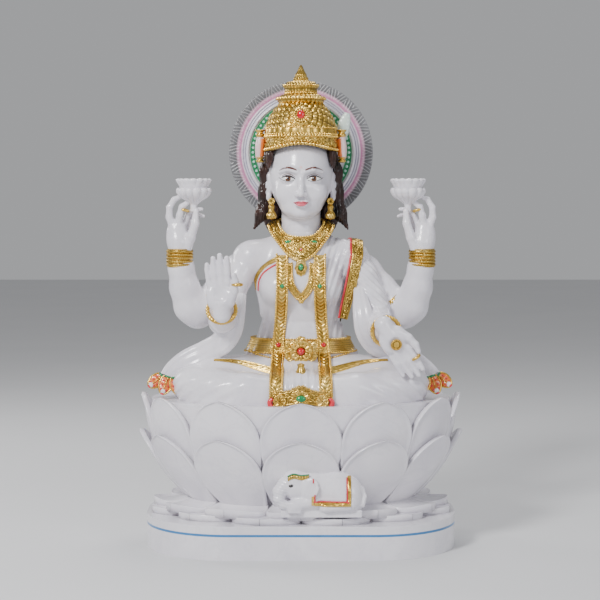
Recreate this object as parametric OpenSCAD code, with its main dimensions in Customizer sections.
// Seated four-armed deity statue of carved and painted marble, on a lotus over a flat plinth.
// Millimetres. +Z is up, the figure faces -Y, and the origin is the middle of the plinth's underside.
// "right" and "left" are the figure's own, so right is at -X.

/* [Plinth] */
// Width of the plinth
plinth_w = 392; // [330:1:480]
// Depth of the plinth
plinth_d = 250; // [210:1:310]
// Thickness of the plinth
plinth_h = 42; // [32:1:60]
// Radius of the plinth's four corners
plinth_corner = 108; // [40:1:120]
// Height of the painted line above the underside
line_z = 29; // [15:1:30]
// Width of the painted line
line_w = 3; // [1.5:0.5:6]

/* [Lotus] */
// Width of the foot of the lotus bowl
foot_w = 276; // [220:1:320]
// Width of the bowl at its mouth
bowl_w = 382; // [340:1:450]
// Depth of the foot of the lotus bowl
foot_d = 157; // [130:1:190]
// Depth of the bowl at its mouth
bowl_d = 228; // [205:1:250]
// Height of the ring of flat petals under the bowl
skirt_h = 20; // [12:1:30]
// Height of the bowl
bowl_h = 124; // [100:1:160]
// Petals in one row
petal_count = 12; // [8:1:14]
// Thickness of a petal
petal_t = 7; // [4:0.5:9]

/* [Figure] */
// Height of the folded legs above the seat
lap_h = 56; // [45:1:70]
// Width across the knees
lap_w = 344; // [290:1:400]
// Height of the torso from the hips to the base of the neck
torso_h = 146; // [125:1:175]
// Distance between the shoulder joints
shoulder_w = 146; // [125:1:175]
// Width of the waist
waist_w = 104; // [88:1:122]
// Visible height of the neck
neck_h = 26; // [18:1:36]
// Width of the neck
neck_w = 52; // [42:1:62]
// Width of the head
head_w = 84; // [74:1:100]
// Depth of the head from brow to back
head_d = 98; // [86:1:116]
// Height of the head from chin to crown rim
head_h = 86; // [74:1:102]
// Radius of an arm at the elbow
elbow_r = 19; // [15:0.5:23]
// Radius of an arm at the wrist
wrist_r = 12.5; // [10:0.5:15]
// Length of a palm
palm_l = 38; // [32:1:46]
// Width of a palm
palm_w = 32; // [26:1:40]

/* [Crown and halo] */
// Height of the crown's lower band
band_h = 19; // [14:1:26]
// Height of the crown's dome
dome_h = 42; // [34:1:52]
// Height of the flanged tier on the dome
tier_h = 26; // [20:1:34]
// Height of the pointed finial
finial_h = 23; // [16:1:30]
// Width of the crown at its rim
crown_w = 92; // [84:1:112]
// Radius of the halo disc
halo_r = 95; // [80:1:115]
// Thickness of the halo disc
halo_t = 7; // [5:0.5:10]

/* [Fixings] */
// Radius of the steel dowels
dowel_r = 3; // [2:0.5:4]
// Length of a dowel
dowel_l = 24; // [16:1:32]
// Radial clearance of a dowel in its hole
dowel_gap = 0.2; // [0.1:0.05:0.5]
// Length of the stud between the head and the halo
stud_grip = 12; // [8:1:16]

/* [Hidden] */
marble = "gainsboro";
gold = "goldenrod";

// Heights of the stack
skirt_z = plinth_h;
bowl_z = skirt_z + skirt_h;
seat_z = bowl_z + bowl_h;
hip_z = seat_z + lap_h;
neck_z = hip_z + torso_h;
chin_z = neck_z + neck_h;
rim_z = chin_z + head_h;

// Fore and aft places of the figure's parts
body_y = 18;
head_y = 12;

// ---- General shapes ----

// A closed solid through a stack of rings that have the same number of points.
// Rings that aren't flat get ladder caps, with rungs between points i and n - 1 - i.
module loft(rings, ladder = false) {
    n = len(rings[0]);
    m = len(rings);
    end = (m - 1) * n;
    polyhedron(
        points = [for (r = rings) each r],
        faces = concat(
            ladder ? [for (i = [0:n / 2 - 2]) [i, i + 1, n - 1 - i]] : [[for (i = [0:n - 1]) i]],
            ladder ? [for (i = [0:n / 2 - 2]) [i + 1, n - 2 - i, n - 1 - i]] : [],
            [for (j = [0:m - 2], i = [0:n - 1]) [j * n + i, (j + 1) * n + i, (j + 1) * n + (i + 1) % n]],
            [for (j = [0:m - 2], i = [0:n - 1]) [j * n + i, (j + 1) * n + (i + 1) % n, j * n + (i + 1) % n]],
            ladder ? [for (i = [0:n / 2 - 2]) [end + n - 1 - i, end + i + 1, end + i]] : [[for (i = [n - 1:-1:0]) end + i]],
            ladder ? [for (i = [0:n / 2 - 2]) [end + n - 1 - i, end + n - 2 - i, end + i + 1]] : []),
        convexity = 6);
}

// A flat elliptical ring of points about c
function ellipse(c, a, b, n = 28) = [for (i = [0:n - 1]) c + [a * cos(360 * i / n), b * sin(360 * i / n), 0]];

function unit(v) = v / norm(v);

// The direction of a path at its point i
function tangent(path, i) = unit(path[min(i + 1, len(path) - 1)] - path[max(i - 1, 0)]);

// Rings across a path: radii holds [across, along the hint] for each point
function sweep(path, radii, hint = [0, 1, 0], n = 16) = [for (i = [0:len(path) - 1])
    let (t = tangent(path, i), u = unit(cross(hint, t)), v = cross(t, u))
    [for (k = [0:n - 1]) path[i] + radii[i][0] * cos(360 * k / n) * u + radii[i][1] * sin(360 * k / n) * v]];

// Some of a list
function part(list, from, to) = [for (i = [from:to]) list[i]];

// A box with round upright edges
module rounded_plate(w, d, h, r) {
    translate([-w / 2 + r, -d / 2, 0]) cube([w - 2 * r, d, h]);
    translate([-w / 2, -d / 2 + r, 0]) cube([w, d - 2 * r, h]);
    for (x = [-1, 1], y = [-1, 1])
        translate([x * (w / 2 - r), y * (d / 2 - r), 0]) cylinder(h = h, r = r, $fn = 96);
}

// A bead between two balls
module bead(p, q, r1, r2, fn = 8) {
    hull() {
        translate(p) sphere(r = r1, $fn = fn);
        translate(q) sphere(r = r2, $fn = fn);
    }
}

// ---- Plinth ----

line_depth = 0.8;

module painted_line() {
    translate([0, 0, line_z]) difference() {
        rounded_plate(plinth_w, plinth_d, line_w, plinth_corner);
        translate([0, 0, -1]) rounded_plate(plinth_w - 2 * line_depth, plinth_d - 2 * line_depth,
            line_w + 2, plinth_corner - line_depth);
    }
}

module plinth() {
    color(marble) difference() {
        rounded_plate(plinth_w, plinth_d, plinth_h, plinth_corner);
        painted_line();
        dowel_holes(base_dowels);
    }
}

module plinth_line() { color("steelblue") painted_line(); }

// ---- Lotus ----

// How far the bowl has swelled from foot to rim at a share u of its height
function bulge(u) = 1 - pow(max(0, 1 - u), 2.6);
// Half width of the bowl at a share u of its height
function bowl_a(u) = foot_w / 2 + (bowl_w - foot_w) / 2 * bulge(u);
// Half depth of the bowl at a share u of its height
function bowl_b(u) = foot_d / 2 + (bowl_d - foot_d) / 2 * bulge(u);
function bowl_ring(u, z) = ellipse([0, 0, z], bowl_a(u), bowl_b(u), 40);

module bowl_core() {
    stages = 5;
    color(marble) difference() {
        loft(concat(
            [bowl_ring(0, skirt_z)],
            [for (i = [0:stages]) bowl_ring(i / stages, bowl_z + bowl_h * i / stages)]));
        dowel_holes(base_dowels);
        dowel_holes(seat_dowels);
    }
}

// Outline of a petal: its half width at a share u of its length, from 0 to 1
function petal_outline(u) = u < 0.55 ? 0.72 + 0.28 * sin(90 * u / 0.55) : cos(90 * (u - 0.55) / 0.45);

// One petal that follows the bowl: it stands from u0 to u1 of the bowl's height, inner_gap off the core,
// and its tip turns out by curl. The turn is about the bowl's axis.
module bowl_petal(turn, spread, u0, u1, inner_gap, curl) {
    rows = 5;
    cols = 4;
    function point(i, j, lift) =
        let (s = i / rows,
             u = u0 + (u1 - u0) * s,
             half = max(0.05, petal_outline(s)),
             v = 2 * j / cols - 1,
             out = inner_gap + lift + curl * pow(s, 3),
             phi = turn + v * half * spread)
        [(bowl_a(u) + out) * cos(phi), (bowl_b(u) + out) * sin(phi), bowl_z + bowl_h * u];
    loft([for (i = [0:rows]) concat(
        [for (j = [0:cols]) point(i, j, petal_t * (1 - pow(2 * j / cols - 1, 2) * 0.7))],
        [for (j = [cols:-1:0]) point(i, j, 0)])]);
}

// A row of petals round the bowl. Even petals face the front.
module petal_row(u0, u1, inner_gap, curl, offset_turn = 0) {
    pitch = 360 / petal_count;
    for (i = [0:petal_count - 1])
        bowl_petal(-90 + offset_turn + i * pitch, pitch * 0.49, u0, u1, inner_gap, curl);
}

half_pitch = 180 / petal_count;
row_gap = 0.3;
module upper_petals() { color(marble) petal_row(0.3, 1.06, row_gap, 9); }
module lower_petals() { color(marble) petal_row(0.02, 0.68, petal_t + 2 * row_gap, 6); }

// One flat petal of the base ring, which lies on the plinth and reaches out to reach
module base_petal(turn, spread, reach, z, rise) {
    rows = 4;
    cols = 4;
    function point(i, j, lift) =
        let (s = i / rows,
             half = max(0.05, petal_outline(s)),
             v = 2 * j / cols - 1,
             a = foot_w / 2 + 1 + (plinth_w / 2 + reach - foot_w / 2 - 1) * s,
             b = foot_d / 2 + 1 + (plinth_d / 2 + reach - foot_d / 2 - 1) * s,
             phi = turn + v * half * spread)
        [a * cos(phi), b * sin(phi), z + rise * pow(1 - s, 2) + lift];
    loft([for (i = [rows:-1:0]) concat(
        [for (j = [0:cols]) point(i, j, 0)],
        [for (j = [cols:-1:0]) point(i, j, petal_t * (1 - pow(2 * j / cols - 1, 2) * 0.5))])], ladder = true);
}

module base_row(reach, z, rise, offset_turn) {
    pitch = 360 / petal_count;
    for (i = [0:petal_count - 1])
        base_petal(-90 + offset_turn + i * pitch, pitch * 0.48, reach, z, rise);
}

base_lift = petal_t + row_gap;
module base_petals_outer() { color(marble) base_row(0, skirt_z, 0, half_pitch); }
module base_petals_inner() { color(marble) base_row(-4, skirt_z + base_lift, skirt_h - petal_t - 2, 0); }

// ---- Lap and torso ----

// Share of the lap's height, and its half width and half depth as shares of the full ones
lap_profile = [[0, 0.9, 0.9], [0.2, 0.97, 0.97], [0.42, 0.9, 0.92], [0.56, 0.72, 0.78], [0.8, 0.54, 0.6], [1, 0.46, 0.47]];
lap_d = 200;
lap_y = -2;
thigh_r = 25;
knee_r = 21;
shin_r = 18;

// A bead between two balls that are squashed to the shares k of their radii
module limb(p, q, r1, r2, k = [1, 1, 1], fn = 15) {
    hull() {
        translate(p) scale(k) sphere(r = r1, $fn = fn);
        translate(q) scale(k) sphere(r = r2, $fn = fn);
    }
}

module lap_solid() {
    knee_x = lap_w / 2 - knee_r;
    rings = [for (p = lap_profile)
        ellipse([0, lap_y + body_y * p[0], seat_z + lap_h * p[0]], lap_w / 2 * p[1], lap_d / 2 * p[2], 36)];
    loft(rings);
    for (side = [-1, 1]) {
        knee = [side * knee_x, -18, seat_z + knee_r + 3.3];
        mid = [side * knee_x * 0.6, -10, seat_z + thigh_r + 2.7];
        limb([side * 30, 0, seat_z + thigh_r + 3.1], mid, thigh_r, thigh_r - 1, [1, 1.4, 1]);
        limb(mid, knee, thigh_r - 1, knee_r, [1, 1.3, 1]);
        limb(knee - [0, 14, 2], [side * knee_x * 0.45, -62, seat_z + shin_r + 2.6], knee_r - 2, shin_r);
        limb([side * knee_x * 0.45, -62, seat_z + shin_r + 2.6], [-side * 14, -72, seat_z + shin_r + 1.7], shin_r, shin_r - 3);
    }
}

module lap() {
    color(marble) difference() {
        lap_solid();
        dowel_holes(seat_dowels);
        dowel_holes(hip_dowels);
    }
}

// Torso: share of its height against half width, half depth and the fore and aft place of its middle
torso_profile_w = [[0, 0.4 * waist_w + 36], [0.14, waist_w / 2 + 8], [0.28, waist_w / 2], [0.55, waist_w / 2 + 10],
    [0.74, waist_w / 2 + 11], [0.86, shoulder_w / 2 - 8], [0.95, shoulder_w / 2 - 24], [1, neck_w / 2 + 6]];
torso_profile_d = [[0, 46], [0.14, 38], [0.28, 34], [0.46, 44], [0.58, 51], [0.68, 50], [0.8, 40], [0.95, 30], [1, neck_w / 2 + 1]];
torso_profile_y = [[0, 0], [0.28, -1], [0.55, -5], [0.68, -5], [0.86, 0], [1, 0]];
function torso_u(z) = (z - hip_z) / torso_h;
function torso_a(z) = lookup(torso_u(z), torso_profile_w);
function torso_b(z) = lookup(torso_u(z), torso_profile_d);
function torso_y(z) = body_y + lookup(torso_u(z), torso_profile_y);
// Fore and aft place of the torso's front surface, lifted off it by lift
function torso_front(x, z, lift) =
    let (k = min(0.98, abs(x) / torso_a(z))) torso_y(z) - torso_b(z) * sqrt(1 - k * k) - lift;

torso_stages = 14;
torso_rings = [for (i = [0:torso_stages])
    let (z = hip_z + torso_h * i / torso_stages) ellipse([0, torso_y(z), z], torso_a(z), torso_b(z), 36)];
module torso_solid() { loft(torso_rings); }

// The same shape built from convex slices, which cuts the arms' shoulders cleanly
module slices(rings) {
    for (i = [0:len(rings) - 2]) hull() loft([rings[i], rings[i + 1]]);
}

module torso() {
    color(marble) difference() {
        torso_solid();
        dowel_holes(hip_dowels);
        dowel_holes(neck_dowels);
        dowel_holes(shoulder_dowels);
    }
}

// A strip that lies on the torso's front: stations hold [x, z, half width], and the strip is t thick
module chest_strip(stations, t, lift = row_gap, across = [1, 0]) {
    function edge(s, side, out) =
        let (x = s[0] + side * s[2] * across[0], z = s[1] + side * s[2] * across[1])
        [x, torso_front(x, z, lift + out), z];
    loft([for (s = stations) [edge(s, -1, 0), edge(s, -1, t * 0.6), edge(s, 0, t), edge(s, 1, t * 0.6), edge(s, 1, 0)]]);
}

// ---- Dress and jewellery on the torso ----

belt_z = hip_z + 12;
belt_h = 15;
jewel_t = 3.5;

module belt() {
    steps = 2;
    color(gold) difference() {
        loft([for (i = [0:steps]) let (z = belt_z - belt_h / 2 + belt_h * i / steps)
            ellipse([0, torso_y(z), z], torso_a(z) + jewel_t, torso_b(z) + jewel_t, 36)]);
        loft([for (i = [-1:steps + 1]) let (z = belt_z - belt_h / 2 + belt_h * i / steps)
            ellipse([0, torso_y(z), z], torso_a(z) + row_gap, torso_b(z) + row_gap, 36)]);
    }
}

buckle_r = 17;
module belt_buckle() {
    color(gold) translate([0, torso_front(0, belt_z, jewel_t + row_gap), belt_z])
        rotate([90, 0, 0]) cylinder(h = jewel_t, r1 = buckle_r, r2 = buckle_r - 3, $fn = 64);
}

chain_x = 27;
chain_half = 7;
chain_top_z = neck_z - 26;
chain_low_z = seat_z + 22;

// A long chain: down the torso, over the belt and on to the lap
module long_chain(side) {
    top = chain_top_z;
    low = hip_z + 4;
    steps = 7;
    rings = [for (i = [0:steps])
        let (z = low + (top - low) * i / steps, x = side * chain_x,
             y = torso_front(x, z, jewel_t + 2 * row_gap))
        [[x - chain_half, y, z], [x - chain_half, y - jewel_t, z], [x + chain_half, y - jewel_t, z], [x + chain_half, y, z]]];
    lap_y0 = -lap_d / 2 * 0.86;
    foot = [for (k = [0, 0.5])
        let (z = chain_low_z + (low - chain_low_z) * k, y = lap_y0 * (1 - k) + rings[0][0][1] * k, x = side * chain_x)
        [[x - chain_half, y, z], [x - chain_half, y - jewel_t, z], [x + chain_half, y - jewel_t, z], [x + chain_half, y, z]]];
    color(gold) loft(concat(foot, rings));
}

module right_chain() { long_chain(-1); }
module left_chain() { long_chain(1); }

plate_r = 16;
plate_y = -lap_d / 2 * 0.9;
module chain_plate() {
    color(gold) translate([0, plate_y, chain_low_z - 4]) rotate([90, 0, 0]) {
        cylinder(h = jewel_t, r = plate_r, $fn = 48);
        translate([-chain_x - chain_half, -9, 0]) cube([2 * (chain_x + chain_half), 14, jewel_t]);
    }
}

// A bib round the base of the neck: a shell on the chest, cut to a ring as seen from the front
bib_r = 44;
bib_inner_r = 27;
module collar() {
    steps = 6;
    low = neck_z - bib_r - 4;
    function z_of(i) = low + (neck_z - low) * i / steps;
    color(gold) intersection() {
        difference() {
            loft([for (i = [0:steps]) let (z = z_of(i))
                ellipse([0, torso_y(z), z], torso_a(z) + jewel_t, torso_b(z) + jewel_t, 36)]);
            loft([for (i = [-1:steps + 1]) let (z = z_of(i))
                ellipse([0, torso_y(z), z], torso_a(z) + row_gap, torso_b(z) + row_gap, 36)]);
        }
        translate([0, body_y, neck_z + 4]) rotate([90, 0, 0]) linear_extrude(plinth_d) difference() {
            circle(r = bib_r, $fn = 64);
            circle(r = bib_inner_r, $fn = 64);
        }
    }
}

loop_drop = 54;
module pendant_loop() {
    turns = 10;
    half = 17;
    wire = 3;
    path = [for (i = [0:turns])
        let (t = 180 * i / turns, x = -half * cos(t), z = neck_z - 30 - (loop_drop - 16) * pow(sin(t), 0.8))
        [x, torso_front(x, z, wire + row_gap), z]];
    color(gold) {
        loft(sweep(path, [for (p = path) [wire, wire]], n = 8));
        translate([0, torso_front(0, neck_z - 50, row_gap) + 0.5, neck_z - 42])
            rotate([90, 0, 0]) cylinder(h = jewel_t, r1 = 6, r2 = 4, $fn = 32);
    }
}

// Gilded edge of the blouse round the right breast
module blouse_edge() {
    color(gold) chest_strip([for (i = [0:5])
        let (t = i / 5) [-chain_x - 10 - 17 * sin(90 * t), neck_z - 62 + 36 * cos(90 * t) - 6, 2.6]], 2.2);
}

// The shawl over the left shoulder: a gilded border beside a field of folds
border_half = 7;
function border_x(t) = shoulder_w / 2 - 14 - 22 * pow(t, 1.4);
function border_z(t) = neck_z - 20 - 92 * t;
module pallu_border() {
    color(gold) chest_strip([for (i = [6:-1:0]) let (t = i / 6) [border_x(t), border_z(t), border_half]], 4);
}

module pallu() {
    gap = 0.5;
    color(marble) chest_strip([for (i = [7:-1:0])
        let (t = i / 7, inner = chain_x + chain_half + gap, outer = border_x(t) - border_half - gap)
        [(inner + outer) / 2, border_z(t), max(1, (outer - inner) / 2)]], 3);
}

// ---- Neck, head and hair ----

function neck_ring(z, k) = ellipse([0, body_y, z], neck_w / 2 * k, neck_w / 2 * 0.94 * k, 24);
module neck_solid() { loft([neck_ring(neck_z - 0.01, 1.12), neck_ring(neck_z + neck_h * 0.5, 1), neck_ring(chin_z + 8, 1)]); }
module neck() {
    color(marble) difference() {
        neck_solid();
        dowel_holes(neck_dowels);
    }
}

// Share of the head's height, half width and half depth, and how far its middle sits back in mm
head_profile = [[0, 0.34, 0.3, -14], [0.06, 0.5, 0.52, -9], [0.18, 0.7, 0.76, -4], [0.36, 0.88, 0.93, 0],
    [0.58, 0.98, 1, 0], [0.8, 1, 1, 0], [1, 0.95, 0.98, 0]];
module head_solid() {
    loft([for (p = head_profile)
        ellipse([0, head_y + p[3], chin_z + head_h * p[0]], head_w / 2 * p[1], head_d / 2 * p[2], 32)]);
}

module head() {
    ear_w = 7;
    color(marble) difference() {
        union() {
            head_solid();
            for (side = [-1, 1]) translate([side * (head_w / 2 - 1), head_y + 4, chin_z + head_h * 0.5])
                rotate([0, side * 8, 0]) translate([-ear_w / 2, -6, -17]) cube([ear_w, 12, 34]);
            translate([0, head_y - head_d / 2 - 4, chin_z + head_h * 0.42])
                rotate([-12, 0, 0]) cylinder(h = 26, r1 = 6, r2 = 2.5, $fn = 24);
        }
        neck_solid();
        dowel_holes(neck_dowels);
        dowel_holes(crown_dowels);
        stud_hole();
    }
}

hair_back_y = head_y + head_d / 2 + 3;
module hair() {
    hair_len = 100;
    color("saddlebrown") difference() {
        loft([for (k = [[-1, 1.42, 13], [-0.86, 1.3, 18], [-0.6, 1.14, 24], [-0.3, 1.14, 26], [0, 1.06, 27]])
            ellipse([0, hair_back_y - 22, rim_z + hair_len * k[0]], head_w / 2 * k[1], k[2], 32)]);
        head_solid();
        neck_solid();
        torso_solid();
        stud_hole();
    }
}

earring_z = chin_z + 14;
module earrings() {
    color(gold) for (side = [-1, 1]) translate([side * (head_w / 2 - 2), head_y - 8, earring_z]) {
        translate([0, 0, 8]) sphere(r = 3.5, $fn = 24);
        translate([0, 0, -8]) cylinder(h = 16, r1 = 6.5, r2 = 1.8, $fn = 32);
        translate([0, 0, -9]) sphere(r = 5, $fn = 24);
    }
}

// ---- Crown ----

crown_r = crown_w / 2;
tier_r = 26;
finial_r = 12;
module crown_turn(points) {
    translate([0, head_y, rim_z]) rotate_extrude($fn = 96) polygon(points);
}

module crown_band() {
    color(gold) difference() {
        crown_turn([[0, 0], [crown_r - 2, 0], [crown_r + 1, 3], [crown_r - 2, 6], [crown_r, 9],
            [crown_r, band_h - 4], [crown_r + 1.5, band_h - 2], [crown_r, band_h], [0, band_h]]);
        dowel_holes(crown_dowels);
    }
}

dome_steps = 8;
module crown_dome() {
    color(gold) crown_turn(concat([[0, band_h]],
        [for (i = [0:dome_steps]) let (t = i / dome_steps)
            [tier_r + (crown_r - 0.5 - tier_r) * (1 - pow(t, 1.9)), band_h + dome_h * t]],
        [[0, band_h + dome_h]]));
}

module crown_tier() {
    z = band_h + dome_h;
    color(gold) crown_turn([[0, z], [tier_r, z], [tier_r + 4.5, z + tier_h * 0.28], [tier_r + 3, z + tier_h * 0.36],
        [tier_r - 3, z + tier_h * 0.5], [tier_r - 5, z + tier_h * 0.8], [tier_r - 9, z + tier_h], [0, z + tier_h]]);
}

module crown_finial() {
    z = band_h + dome_h + tier_h;
    r = finial_r;
    color(gold) crown_turn([[0, z], [r, z], [r + 0.8, z + 2], [r, z + 4], [r * 0.72, z + 10], [0.9, z + finial_h - 1],
        [0, z + finial_h]]);
}

module crown_side_ornaments() {
    x = crown_r + 3.5;
    color("lightpink") for (side = [-1, 1]) translate([side * x, head_y - 2, rim_z - 8]) {
        cylinder(h = 24, r1 = 6, r2 = 5, $fn = 32);
        translate([0, 0, -4]) cylinder(h = 4, r = 4, $fn = 32);
        translate([0, 0, 24]) cylinder(h = 6, r1 = 3, r2 = 6, $fn = 32);
    }
}

module crown_plume() {
    color("honeydew") hull() {
        translate([crown_r + 4, head_y + 12, rim_z + 10]) sphere(r = 5, $fn = 16);
        translate([crown_r + 12, head_y + 14, rim_z + 34]) sphere(r = 7, $fn = 16);
        translate([crown_r + 15, head_y + 15, rim_z + 48]) sphere(r = 2, $fn = 16);
    }
}

// ---- Stones ----

stone_r = 3;
module stone(place, r) {
    translate(place) rotate([90, 0, 0]) cylinder(h = 1.6, r1 = r, r2 = r * 0.6, $fn = 24);
}

crown_jewel_z = band_h + dome_h * 0.62;
module red_stones() {
    t = (crown_jewel_z - band_h) / dome_h;
    jewel_y = head_y - (tier_r + (crown_r - 0.5 - tier_r) * (1 - pow(t, 1.9))) - 1;
    chain_y = torso_front(chain_x, belt_z, 2 * jewel_t + 3 * row_gap);
    color("crimson") {
        stone([0, jewel_y, rim_z + crown_jewel_z], 6);
        stone([0, torso_front(0, belt_z, 2 * jewel_t + 2 * row_gap), belt_z], 4);
        for (side = [-1, 1]) stone([side * chain_x, chain_y, belt_z], stone_r);
    }
}

module green_stones() {
    z = chain_top_z - 22;
    color("seagreen") {
        stone([0, plate_y - jewel_t - row_gap, chain_low_z - 4], 5);
        for (side = [-1, 1])
            stone([side * chain_x, torso_front(side * chain_x, z, 2 * jewel_t + 3 * row_gap), z], stone_r);
        stone([0, torso_front(0, neck_z - 50, row_gap) - jewel_t, neck_z - 42], stone_r);
    }
}

// ---- Halo ----

halo_z = rim_z;
halo_y = hair_back_y + stud_grip;
stud_z = halo_z - 20;
module halo_disc() {
    color("silver") difference() {
        translate([0, halo_y + halo_t, halo_z]) rotate([90, 0, 0]) {
            cylinder(h = halo_t * 0.6, r = halo_r, $fn = 180);
            difference() {
                cylinder(h = halo_t, r = halo_r * 0.8, $fn = 120);
                translate([0, 0, halo_t * 0.7]) cylinder(h = halo_t, r = halo_r * 0.62, $fn = 120);
            }
        }
        stud_hole();
    }
}

stud_r = 4;
stud_reach = 22;
module halo_stud() {
    color("lightsteelblue") translate([0, halo_y + halo_t - 1, stud_z]) rotate([90, 0, 0])
        cylinder(h = stud_reach + stud_grip + halo_t, r = stud_r, $fn = 32);
}
module stud_hole() {
    translate([0, halo_y + halo_t - 1 + dowel_gap, stud_z]) rotate([90, 0, 0])
        cylinder(h = stud_reach + stud_grip + halo_t + 2 * dowel_gap, r = stud_r + dowel_gap, $fn = 32);
}

// ---- Arms ----

shoulder_x = shoulder_w / 2;
shoulder_z = neck_z - 26;
// Paths from the shoulder to the wrist, as steps from the shoulder joint, for an arm on the +X side
rear_path = [[-24, 0, 16], [-10, 0, 8], [10, 2, -14], [30, 0, -38], [50, -6, -62], [62, -10, -72], [70, -16, -62], [76, -22, -36], [80, -26, -8], [82, -28, 6]];
rear_radii = [7, 14, 18, 18, elbow_r, elbow_r + 1, elbow_r, elbow_r - 3, wrist_r + 1.5, wrist_r];
rear_elbow = 5;
right_path = [[-24, -2, 14], [-10, -4, 6], [6, -8, -22], [16, -14, -48], [22, -22, -70], [25, -36, -78], [25, -56, -74], [25, -78, -64], [25, -86, -60]];
left_path = [[-24, -2, 14], [-10, -4, 6], [6, -8, -22], [16, -14, -48], [22, -22, -72], [25, -36, -82], [28, -56, -84], [31, -76, -86], [33, -84, -87]];
front_radii = [7, 14, 18, 17, elbow_r, elbow_r, elbow_r - 2, wrist_r + 1.5, wrist_r];
front_elbow = 5;
arm_y = body_y - 4;

function arm_rings(side, path, radii) = sweep(
    [for (p = path) [side * (shoulder_x + p[0]), arm_y + p[1], shoulder_z + p[2]]],
    [for (r = radii) [r, r]], hint = [0, 1, 0.35]);
function arm_end(side, path) =
    let (p = path[len(path) - 1]) [side * (shoulder_x + p[0]), arm_y + p[1], shoulder_z + p[2]];

module upper_arm(side, path, radii, elbow) {
    color(marble) difference() {
        slices(part(arm_rings(side, path, radii), 0, elbow));
        slices(torso_rings);
        dowel_holes(shoulder_dowels);
    }
}
module forearm(side, path, radii, elbow) {
    color(marble) loft(part(arm_rings(side, path, radii), elbow, len(path) - 1));
}

rear_y = 12;
module rear(side, what) {
    translate([0, rear_y, 0])
        if (what == "upper") upper_arm(side, rear_path, rear_radii, rear_elbow);
        else forearm(side, rear_path, rear_radii, rear_elbow);
}

module right_rear_upper_arm() { rear(-1, "upper"); }
module right_rear_forearm() { rear(-1, "fore"); }
module left_rear_upper_arm() { rear(1, "upper"); }
module left_rear_forearm() { rear(1, "fore"); }
module right_front_upper_arm() { upper_arm(-1, right_path, front_radii, front_elbow); }
module right_front_forearm() { forearm(-1, right_path, front_radii, front_elbow); }
module left_front_upper_arm() { upper_arm(1, left_path, front_radii, front_elbow); }
module left_front_forearm() { forearm(1, left_path, front_radii, front_elbow); }

// ---- Hands ----

palm_t = 13;
finger_r = 4;
// An open hand that stands on its wrist along +Z, with its palm to -Y and its thumb to +X
module open_hand() {
    lengths = [24, 31, 34, 30];
    hull() {
        translate([0, 0, 4]) scale([1, 0.8, 1]) sphere(r = wrist_r - 1, $fn = 12);
        for (x = [-1, 1]) translate([x * (palm_w / 2 - 5), 0, palm_l - 4]) sphere(r = 5.5, $fn = 8);
        translate([palm_w / 2 - 5, -3, 14]) sphere(r = 6, $fn = 8);
    }
    for (i = [0:3]) {
        x = -palm_w / 2 + 4 + i * (palm_w - 8) / 3;
        tip = [x * 1.12, -2, palm_l + lengths[i]];
        bead([x, 0, palm_l - 4], [x * 1.06, 0, palm_l + lengths[i] * 0.5], finger_r + 0.4, finger_r);
        bead([x * 1.06, 0, palm_l + lengths[i] * 0.5], tip, finger_r, finger_r - 1.2);
    }
    bead([palm_w / 2 - 4, -4, 12], [palm_w / 2 + 5, -6, 30], finger_r + 2, finger_r + 0.4);
    bead([palm_w / 2 + 5, -6, 30], [palm_w / 2 + 4, -8, 44], finger_r + 0.4, finger_r - 1);
}

// A hand that holds a stem between thumb and fingers, standing on its wrist along +Z, thumb to -X
module holding_hand() {
    hull() {
        translate([0, 0, 4]) sphere(r = wrist_r - 1, $fn = 12);
        translate([4, 0, palm_l]) scale([0.8, 1, 1]) sphere(r = 9, $fn = 10);
    }
    bead([-2, -2, 10], [-13, -4, 34], 6.5, finger_r);
    bead([-13, -4, 34], [-12, -4, 56], finger_r, finger_r - 1);
    bead([8, 4, palm_l + 2], [12, 4, palm_l + 22], finger_r + 0.5, finger_r);
    bead([12, 4, palm_l + 22], [7, 2, palm_l + 38], finger_r, finger_r - 1);
    for (i = [0:2]) {
        y = 3 - i * 5;
        bead([4, y, palm_l + 4], [2, y - 2, palm_l + 18 - 2 * i], finger_r + 0.5, finger_r - 0.4);
        bead([2, y - 2, palm_l + 18 - 2 * i], [-14, y - 3, palm_l + 20 - 7 * i], finger_r - 0.4, finger_r - 1.6);
    }
}

hand_seat = 8;
// The rear wrists lean out a little, and so do their hands
rear_lean = 4;
module rear_hand(side) {
    wrist = arm_end(side, rear_path) + [0, rear_y, 0];
    color(marble) difference() {
        translate(wrist) rotate([6, -side * rear_lean, 0]) mirror([side < 0 ? 1 : 0, 0, 0]) holding_hand();
        translate([0, rear_y, 0]) loft(part(arm_rings(side, rear_path, rear_radii), rear_elbow, len(rear_path) - 1));
        stem_hole(side);
    }
}
module right_rear_hand() { rear_hand(-1); }
module left_rear_hand() { rear_hand(1); }

module front_hand(side, path, turn) {
    color(marble) difference() {
        translate(arm_end(side, path) + [0, -hand_seat + 2, 0]) rotate(turn) children();
        loft(part(arm_rings(side, path, front_radii), front_elbow, len(path) - 1));
    }
}
module right_front_hand() {
    front_hand(-1, right_path, [4, 0, 0]) translate([0, 0, -2]) open_hand();
}
left_hand_turn = [-6, 150, 0];
module left_front_hand() {
    front_hand(1, left_path, left_hand_turn) translate([0, 0, -2]) mirror([1, 0, 0]) open_hand();
}

// ---- Jewellery on the arms ----

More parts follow.
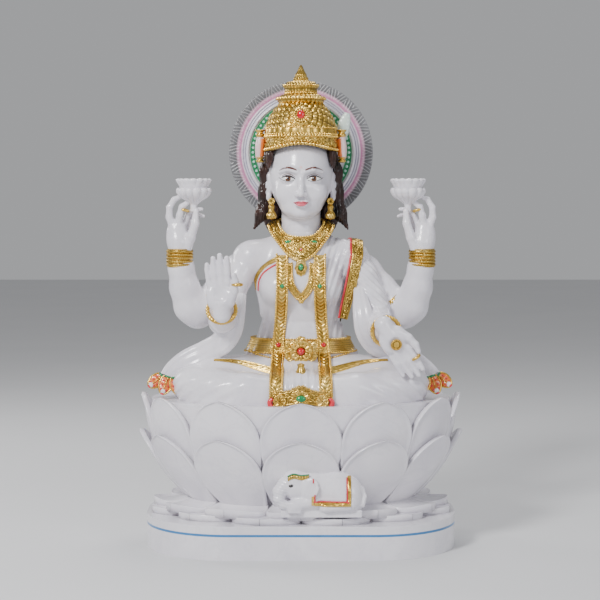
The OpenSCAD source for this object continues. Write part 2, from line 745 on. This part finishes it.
module band_on(rings, at, lift, half) {
    c = function(r) [for (k = [0:2]) sum_of(r, k) / len(r)];
    mid = c(rings[at]);
    along = unit(c(rings[min(at + 1, len(rings) - 1)]) - c(rings[max(at - 1, 0)]));
    r = norm(rings[at][0] - mid);
    angle = acos(along[2]);
    axis = abs(angle) < 0.01 ? [1, 0, 0] : cross([0, 0, 1], along);
    translate(mid) rotate(angle, axis) translate([0, 0, -half]) rotate_extrude($fn = 64)
        polygon([[r + row_gap, 0], [r + lift, 0], [r + lift * 1.2, half * 0.5], [r + lift, half],
            [r + lift * 1.2, half * 1.5], [r + lift, 2 * half], [r + row_gap, 2 * half]]);
}
function sum_of(r, k, i = 0) = i >= len(r) ? 0 : r[i][k] + sum_of(r, k, i + 1);

module rear_cuffs() {
    color(gold) for (side = [-1, 1]) translate([0, rear_y, 0])
        band_on(arm_rings(side, rear_path, rear_radii), 8, 3.2, 9);
}
module front_bangles() {
    color(gold) {
        band_on(arm_rings(-1, right_path, front_radii), 7, 3, 3);
        band_on(arm_rings(1, left_path, front_radii), 7, 3, 3);
    }
}
module armlets() {
    color(gold) for (side = [-1, 1]) translate([0, rear_y, 0])
        band_on(arm_rings(side, rear_path, rear_radii), 3, 2.4, 4.5);
}

module ring_at(place, r) {
    translate(place) rotate_extrude($fn = 32) translate([r, 0]) circle(r = 1.1, $fn = 16);
}
module finger_rings() {
    color(gold) {
        ring_at(arm_end(-1, right_path) + [palm_w / 2 + 3, -14, 27], finger_r + 1.8);
        for (side = [-1, 1])
            ring_at(arm_end(side, rear_path) + [side * 8, rear_y + 1, palm_l + 8], finger_r + 1.8);
    }
}

coin_r = 7.5;
module palm_coin() {
    wrist = arm_end(1, left_path) + [0, -hand_seat + 2, 0];
    color(gold) translate(wrist) rotate(left_hand_turn) translate([0, -palm_t / 2 - 1, palm_l * 0.62])
        rotate([90, 0, 0]) difference() {
            cylinder(h = 2.5, r = coin_r, $fn = 48);
            translate([0, 0, 1.5]) cylinder(h = 2, r = coin_r - 2.5, $fn = 48);
        }
}

// ---- Lotus flowers held in the rear hands ----

flower_r = 22;
flower_h = 26;
stem_r = 3.5;
flower_in = 14;
function flower_place(side) = arm_end(side, rear_path) + [-side * flower_in, rear_y - 4, palm_l + 30];
module flower(side) {
    color(marble) translate(flower_place(side)) {
        rotate_extrude($fn = 72) polygon([[0, -10], [stem_r, -10], [stem_r + 1, 0], [flower_r * 0.62, flower_h * 0.35],
            [flower_r * 0.92, flower_h * 0.55], [flower_r * 0.8, flower_h * 0.62], [flower_r, flower_h],
            [flower_r * 0.85, flower_h - 1], [0, flower_h - 4]]);
    }
}
module stem_hole(side) {
    translate(flower_place(side)) {
        translate([0, 0, -10 - dowel_gap]) cylinder(h = 20, r = stem_r + 1 + dowel_gap, $fn = 32);
        cylinder(h = flower_h, r1 = stem_r + 2, r2 = flower_r + 1, $fn = 32);
    }
}
module right_lotus() { flower(-1); }
module left_lotus() { flower(1); }

// ---- Sashes: bands of cloth from the front arms to the knees ----

// Steps from the shoulder joint, and the half width of the cloth at each
sash_drop = [[20, -38, -96], [40, -50, -112], [64, -56, -126], [86, -56, -140], [102, -56, -154], [112, -56, -168]];
sash_half = [12, 14, 16, 16, 15, 12];
sash_t = 9;
module sash(side) {
    path = [for (p = sash_drop) [side * (shoulder_x + p[0]), arm_y + p[1], shoulder_z + p[2]]];
    color(marble) difference() {
        loft(sweep(path, [for (h = sash_half) [sash_t, h]], hint = [0, 1, 0.01], n = 14));
        lap_solid();
        loft(arm_rings(side, side < 0 ? right_path : left_path, front_radii));
    }
}
module right_sash() { sash(-1); }
module left_sash() { sash(1); }

// Gilded hems that cross the thighs below the belt
module lap_hems() {
    color(gold) for (side = [-1, 1]) {
        path = [for (t = [0:4]) [side * (38 + 20 * t), -66 + 8 * t, seat_z + 47 + 2.5 * t]];
        difference() {
            loft(sweep(path, [for (p = path) [6, 9]], hint = [0, 1, 0], n = 12));
            lap_solid();
        }
    }
}

// ---- Elephant that kneels before the bowl ----

elephant_l = 104;
elephant_h = 56;
elephant_y = -plinth_d / 2 + 16;
elephant_z = skirt_z + petal_t + 1;
elephant_x = 18;
barrel_r = elephant_h * 0.36;
slab_h = 7;

// The barrel of the body from chest to rump, grown by extra
module elephant_barrel(extra = 0) {
    limb([4, 0, elephant_h * 0.54], [34, 0, elephant_h * 0.46], barrel_r * 0.86 + extra, barrel_r + extra, [1, 0.9, 1]);
}

// The half of the space behind which the carving meets the bowl
module behind() {
    translate([-elephant_l, barrel_r * 0.7, -1]) cube([2 * elephant_l, plinth_d, 2 * elephant_h]);
}

module elephant() {
    head = [-20, 0, elephant_h * 0.72];
    color(marble) translate([elephant_x, elephant_y, elephant_z]) difference() {
        union() {
            elephant_barrel();
            translate([-elephant_l / 2, -13, 0]) cube([elephant_l, 26, slab_h]);
            limb(head, head + [-3, 0, -6], elephant_h * 0.26, elephant_h * 0.2, [1, 0.9, 1]);
            limb(head + [-6, 0, -6], head + [-18, 0, -16], 9, 6.5);
            limb(head + [-18, 0, -16], head + [-19, 0, -26], 6.5, 5, fn = 12);
            limb(head + [-19, 0, -26], head + [-11, 0, -29], 5, 3.6, fn = 12);
            for (y = [-1, 1])
                limb(head + [8, y * 12, 2], head + [8, y * 13, -8], 9, 7, [1, 0.25, 1], 16);
            limb([-2, -11, 15], [-22, -11, slab_h + 3], 7, 5, fn = 12);
            limb([-2, 9, 15], [-22, 9, slab_h + 3], 7, 5, fn = 12);
            limb([38, -13, 16], [20, -14, slab_h + 3], 9, 5, fn = 12);
        }
        behind();
    }
}

module elephant_trappings() {
    cloth_t = 2.2;
    color(gold) translate([elephant_x, elephant_y, elephant_z]) {
        intersection() {
            difference() {
                elephant_barrel(cloth_t);
                elephant_barrel(row_gap);
            }
            translate([6, -plinth_d / 2, 15]) cube([32, plinth_d / 2 + barrel_r * 0.5, elephant_h]);
        }
    }
}

// ---- Dowels ----

// Each dowel set is a list of [middle of the dowel, turn of its axis from +Z]
base_dowels = [for (x = [-1, 1]) [[x * foot_w * 0.3, 0, plinth_h], [0, 0, 0]]];
seat_dowels = [for (x = [-1, 1]) [[x * waist_w * 0.7, 0, seat_z], [0, 0, 0]]];
hip_dowels = [for (x = [-1, 1]) [[x * waist_w * 0.25, body_y, hip_z], [0, 0, 0]]];
neck_dowels = [[[0, body_y, neck_z], [0, 0, 0]], [[0, body_y, chin_z + 8], [0, 0, 0]]];
crown_dowels = [[[0, head_y, rim_z], [0, 0, 0]]];
shoulder_dowels = [for (side = [-1, 1]) [[side * (torso_a(shoulder_z - 8) - 1), body_y, shoulder_z - 8], [0, 90, 0]]];

module dowel_pins(set, gap = 0) {
    for (d = set) translate(d[0]) rotate(d[1]) translate([0, 0, -dowel_l / 2 - gap])
        cylinder(h = dowel_l + 2 * gap, r = dowel_r + gap, $fn = 32);
}
module dowel_holes(set) { dowel_pins(set, dowel_gap); }
module dowels() {
    color("lightsteelblue") dowel_pins(concat(base_dowels, seat_dowels, hip_dowels, neck_dowels, crown_dowels, shoulder_dowels));
}

plinth();
plinth_line();
base_petals_outer();
base_petals_inner();
bowl_core();
lower_petals();
upper_petals();
lap();
lap_hems();
torso();
blouse_edge();
pallu();
pallu_border();
belt();
belt_buckle();
collar();
pendant_loop();
right_chain();
left_chain();
chain_plate();
neck();
head();
hair();
earrings();
crown_band();
crown_dome();
crown_tier();
crown_finial();
crown_side_ornaments();
crown_plume();
red_stones();
green_stones();
halo_disc();
halo_stud();
right_rear_upper_arm();
right_rear_forearm();
right_rear_hand();
left_rear_upper_arm();
left_rear_forearm();
left_rear_hand();
right_front_upper_arm();
right_front_forearm();
right_front_hand();
left_front_upper_arm();
left_front_forearm();
left_front_hand();
rear_cuffs();
front_bangles();
armlets();
finger_rings();
right_lotus();
left_lotus();
palm_coin();
right_sash();
left_sash();
elephant();
elephant_trappings();
dowels();
